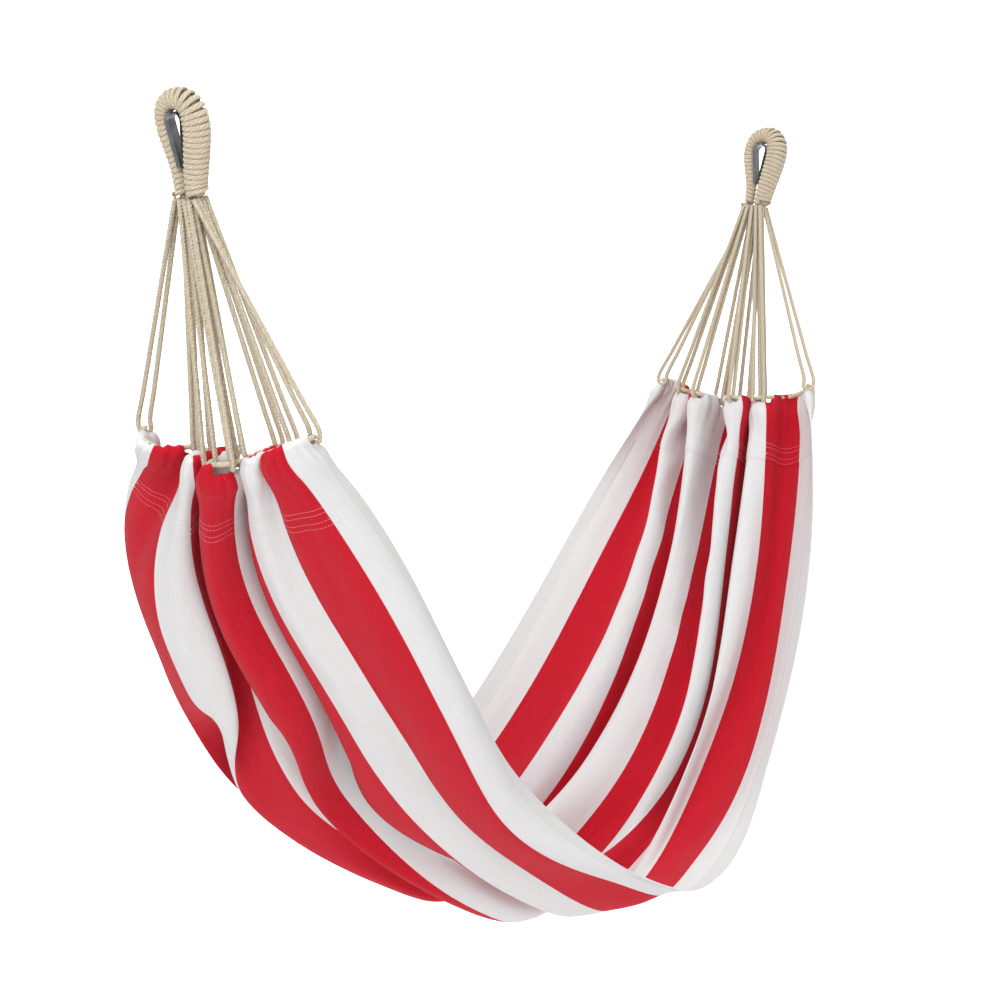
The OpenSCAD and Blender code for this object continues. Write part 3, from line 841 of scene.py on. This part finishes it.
def sample(distance, across):
    """The settled cloth at a distance along it and a place across it, smooth between its grid points."""
    result = 0
    r = np.clip(distance / BED_LENGTH, 0, 1) * (ROWS - 1)
    c = np.clip(across / BED_WIDTH, 0, 1) * (COLUMNS - 1)
    r0, c0 = np.floor(r).astype(int), np.floor(c).astype(int)
    fr, fc = r - r0, c - c0

    def weights(f):
        return [
            -0.5 * f + f * f - 0.5 * f ** 3,
            1 - 2.5 * f * f + 1.5 * f ** 3,
            0.5 * f + 2 * f * f - 1.5 * f ** 3,
            -0.5 * f * f + 0.5 * f ** 3,
        ]

    for i, wr in enumerate(weights(fr)):
        for j, wc in enumerate(weights(fc)):
            rr = np.clip(r0 + i - 1, 0, ROWS - 1)
            cc = np.clip(c0 + j - 1, 0, COLUMNS - 1)
            result = result + (wr * wc)[..., None] * bed[rr, cc]
    return result


# ---- the finished cloth ----

CLOTH = 0.0012       # thickness of one layer
HEM_DEPTH = 0.112    # end hem, from the casing rope to its folded edge
HEM_END = 0.128      # where the finer rows of the mesh end, past the hem
HEM_STEP = 0.004     # between those rows
FREE_ROWS = 220
FREE_COLUMNS = 190
SLIT = 0.010         # half the length of a gap in the hem where a clew passes
SLIT_EDGE = 0.008    # over which it closes
SLIT_DEPTH = 0.0145
POCKET = 0.0055      # half the thickness of the hem's pocket round the rope
PUFF = 0.0035        # how much fuller it gets between the rope and the stitches
DRAWN = 0.06         # how far from the rope the gaps draw the cloth along
OVER_ROPE = (-60, -30, 0, 30, 60)    # degrees at which rows carry the cloth over the rope
STITCH_ROWS = (0.083, 0.090, 0.101, 0.109)
STITCH = 0.0046      # from one stitch to the next
STITCH_GAP = 0.06    # share of that which is free at each end of a stitch
THREAD = 0.00045     # half the width of a stitch
SEAM_INSET = 0.003   # of the side hems' stitches from the hem's edge


def clew_gaps(across, end):
    """How open the hem is at a place across it: 1 where a clew goes through, 0 where it covers the rope."""
    plan = 0.001 * through(RIGHT_END if end else LEFT_END, across)
    hung = np.array([CASING[clew[0]] * (1, -1 if end else 1) for clew in CLEWS])
    near = np.min(np.linalg.norm(plan[..., None, :] - hung, axis=-1), -1)
    return 1 - smooth_step((near - SLIT) / SLIT_EDGE)


def frames_at(distance, across):
    """Place, inward normal and downward direction of the cloth."""
    step = 0.004
    down = sample(distance + step, across) - sample(distance - step, across)
    over = sample(distance, across + step) - sample(distance, across - step)
    return sample(distance, across), unit(np.cross(down, over)), unit(down)


def gathers(distance, across, end):
    """Small pleats that spread from the casing rope."""
    place = 0.7 * across + 0.3 * end
    fade = np.exp(-np.maximum(distance, 0) / 0.034)
    waves = (np.sin(place * 2 * math.pi / 0.0125 + 2 * np.sin(place * 31))
             + 0.6 * np.sin(place * 2 * math.pi / 0.0195 + 1.3))
    return 0.0019 * fade * waves


def pocket(distance, gap):
    """Half the thickness of the hem pocket round the rope, which is flatter at a gap."""
    d = np.clip(distance / STITCH_ROWS[0], 0, 1)
    plump = POCKET + PUFF * np.sin(math.pi * np.clip(d * 1.3, 0, 1))
    closed = (1 - smooth_step(d)) * plump * (1 - gap * (1 - smooth_step(distance / 0.03)) * 0.75)
    return CLOTH / 2 + closed


def cloth_mesh():
    """Both faces of the cloth in one closed skin, with its end pockets and side hems."""
    fine = np.arange(HEM_STEP, HEM_END - HEM_STEP, HEM_STEP)
    hem_edge = [HEM_DEPTH, HEM_DEPTH + CLOTH]
    one_end = np.sort(np.concatenate([[0], fine[np.abs(fine - HEM_DEPTH) > 0.0025], hem_edge]))
    middle = np.linspace(HEM_END, BED_LENGTH - HEM_END, FREE_ROWS)
    lengths = np.concatenate([one_end, middle, BED_LENGTH - one_end[::-1]])
    inner = np.linspace(SIDE_HEM + 0.006, BED_WIDTH - SIDE_HEM - 0.006, FREE_COLUMNS)
    border = np.array([0, CLOTH, 0.006, 0.012, 0.018, SIDE_HEM - 0.002, SIDE_HEM, SIDE_HEM + CLOTH])
    widths = np.concatenate([border, inner, BED_WIDTH - border[::-1]])
    d, s = np.meshgrid(lengths, widths, indexing="ij")
    left_gap, right_gap = clew_gaps(s, 0), clew_gaps(s, 1)
    left_top, right_top = SLIT_DEPTH * left_gap, SLIT_DEPTH * right_gap
    near_left = 1 - smooth_step(d / DRAWN)
    near_right = 1 - smooth_step((BED_LENGTH - d) / DRAWN)
    d = d + left_top * near_left - right_top * near_right
    place, normal, down = frames_at(d, s)
    from_right = BED_LENGTH - d
    place = place + normal * (gathers(d, s, 0) + gathers(from_right, s, 1))[..., None]
    half = np.maximum(pocket(d, left_gap), pocket(from_right, right_gap))
    in_end_hem = (d < HEM_DEPTH + 0.0006) | (from_right < HEM_DEPTH + 0.0006)
    in_side_hem = (s < SIDE_HEM + 0.0006) | (s > BED_WIDTH - SIDE_HEM - 0.0006)
    layers = CLOTH * 0.8 * (in_end_hem | in_side_hem)
    outer = place - normal * half[..., None]
    inward = place + normal * (half + layers)[..., None]
    rows, columns = d.shape

    def over_top(row, direction):
        """Rows that carry the cloth over the rope, from the outer face to the inner one."""
        a, b = outer[row], inward[row]
        centre, arm = (a + b) / 2, (b - a) / 2
        rise = -direction * down[row] * np.linalg.norm(arm, axis=1)[:, None]
        return [centre + arm * math.sin(g) + rise * math.cos(g) for g in np.radians(OVER_ROPE)]

    arc = len(OVER_ROPE)
    loop = [*outer, *over_top(rows - 1, -1), *inward[::-1], *over_top(0, 1)[::-1]]
    down_uv = [*d, *([d[-1]] * arc), *d[::-1], *([d[0]] * arc)]
    count = len(loop)
    uvs = np.stack([np.tile(widths, count), np.concatenate(down_uv)], -1)
    ring = np.arange(count * columns).reshape(count, columns)
    following = np.roll(ring, -1, axis=0)
    quads = np.stack([ring[:, :-1], ring[:, 1:], following[:, 1:], following[:, :-1]], -1).reshape(-1, 4)
    faces = quads.tolist()
    for column, flip in ((0, 1), (columns - 1, -1)):
        edge = [int(v) for v in ring[:, column]]
        for i in range(rows - 1):
            j = (rows - 1 - i) + rows + arc
            faces.append([edge[i], edge[i + 1], edge[j - 1], edge[j]][::flip])
        faces.append(edge[rows - 1:rows + arc + 1][::flip])
        faces.append([*edge[count - arc - 1:], edge[0]][::flip])
    return np.concatenate(loop), faces, uvs


cloth = add_mesh("bed_cloth", *cloth_mesh())
dressed(cloth, CANVAS, "bed")
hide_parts("bed_fabric")


def thread_runs(runs, name, on_red):
    """Stitches on the red or the white stripes: each is a flat little bar of four rings that dips at its
    ends. A run is its points, the cloth's normals and the places across the cloth."""
    out, quads = [], []
    for points, normals, across in runs:
        run = along(points)
        count = max(1, int(run[-1] / STITCH))
        for n in range(count):
            span = np.linspace((n + STITCH_GAP) / count, (n + 1 - STITCH_GAP) / count, 4) * run[-1]
            stripe = np.searchsorted(STRIPES, 1000 * np.interp(span.mean(), run, across), "right") - 1
            if stripe % 2 != on_red:
                continue
            p = read(span, run, points)
            up = unit(read(span, run, normals))
            side = unit(np.cross(up, tangents(p))) * THREAD
            lift = up * np.array([-0.0002, 0.0005, 0.0005, -0.0002])[:, None]
            first = len(out)
            for ring in range(4):
                out += [p[ring] - side[ring] - up[ring] * 0.0003, p[ring] + side[ring] - up[ring] * 0.0003,
                        p[ring] + side[ring] * 0.6 + lift[ring], p[ring] - side[ring] * 0.6 + lift[ring]]
            for ring in range(3):
                for k in range(4):
                    j = (k + 1) % 4
                    a = first + ring * 4
                    quads.append([a + k, a + j, a + 4 + j, a + 4 + k])
            quads += [[first + 3, first + 2, first + 1, first], [first + 12 + k for k in range(4)]]
    return add_mesh(name, out, quads)


def stitch_runs():
    """The rows of stitches on both faces of the cloth."""
    runs = []
    across = np.linspace(0.003, BED_WIDTH - 0.003, 420)
    for end in (0, 1):
        for row in STITCH_ROWS:
            distance = np.full_like(across, BED_LENGTH - row if end else row)
            place, facing, _ = frames_at(distance, across)
            place = place + facing * gathers(np.full_like(across, row), across, end)[:, None]
            runs.append((place - facing * CLOTH / 2, -facing, across))
            runs.append((place + facing * CLOTH * 1.3, facing, across))
    distance = np.linspace(0.115, BED_LENGTH - 0.115, 800)
    for seam in (SIDE_HEM - SEAM_INSET, BED_WIDTH - SIDE_HEM + SEAM_INSET):
        seams = np.full_like(distance, seam)
        place, facing, _ = frames_at(distance, seams)
        runs.append((place - facing * CLOTH / 2, -facing, seams))
        runs.append((place + facing * CLOTH * 1.3, facing, seams))
    return runs


runs = stitch_runs()
stitches = [thread_runs(runs, "bed_white_stitches", 0), thread_runs(runs, "bed_pink_stitches", 1)]
for obj, thread in zip(stitches, THREADS):
    dressed(obj, thread, "bed")

# ---- studio ----

PAPER = (0.97, 0.97, 0.97, 1)
PAPER_SHADE = (0.8, 0.8, 0.8, 1)
FLOOR = -1.62
FLOOR_HALF = 12.0                    # half the floor's width and how far it runs forwards
WALL_AT = 4.0                        # where the floor starts to curve up, past the hammock's middle
WALL_RADIUS = 2.0
WALL_TOP = 9.0
HEADING = math.radians(34.1)         # away from the camera


def studio_material():
    """Faintly clouded white paper."""
    mat, tree, bsdf = new_material("studio_paper")
    place = node(tree, "ShaderNodeTexCoord").outputs["Object"]
    shade = mixed(tree, maths(tree, "MULTIPLY", noise(tree, place, 3, 2), 0.05), PAPER, PAPER_SHADE)
    plug(tree, bsdf, Base_Color=shade, Roughness=1)
    return mat


def backdrop():
    """A floor that curves up into a wall behind the hammock and away from the camera."""
    profile = [(-FLOOR_HALF, 0), (WALL_AT, 0)]
    for a in np.radians(range(6, 91, 6)):
        profile.append((WALL_AT + WALL_RADIUS * math.sin(a), WALL_RADIUS - WALL_RADIUS * math.cos(a)))
    profile.append((WALL_AT + WALL_RADIUS, WALL_TOP))
    verts = []
    for ahead, height in profile:
        for side in (-FLOOR_HALF, FLOOR_HALF):
            x = HOOK_SPAN / 2 + ahead * math.cos(HEADING) - side * math.sin(HEADING)
            y = ahead * math.sin(HEADING) + side * math.cos(HEADING)
            verts.append((x, y, FLOOR + height))
    quads = [(2 * i, 2 * i + 1, 2 * i + 3, 2 * i + 2) for i in range(len(profile) - 1)]
    obj = add_mesh("studio_floor", verts, quads)
    obj.data.materials.append(studio_material())


def area_light(name, place, target, size, power):
    """A round white light that faces its target."""
    data = bpy.data.lights.new(name, "AREA")
    data.shape = "DISK"
    data.size = size
    data.energy = power
    obj = bpy.data.objects.new(name, data)
    obj.location = place
    look = Vector(target) - Vector(place)
    obj.rotation_euler = look.to_track_quat("-Z", "Y").to_euler()
    scene.collection.objects.link(obj)


backdrop()
area_light("key", (-2.8, -1.2, 1.8), (0.7, 0, -0.7), 1.8, 96)
area_light("fill", (0.6, -4.2, 0.4), (0.8, 0, -0.7), 3.0, 26)
area_light("wall", (3.4, 1.8, 2.4), (5.6, 3.3, -0.6), 3.0, 260)
area_light("top", (0.9, 0.6, 3.0), (0.8, 0, -0.8), 3.0, 60)

world = bpy.data.worlds.new("studio")
world.use_nodes = True
world.node_tree.nodes["Background"].inputs[0].default_value = (1, 1, 1, 1)
world.node_tree.nodes["Background"].inputs[1].default_value = 0.60
scene.world = world
scene.view_settings.view_transform = "Standard"
scene.view_settings.look = "None"
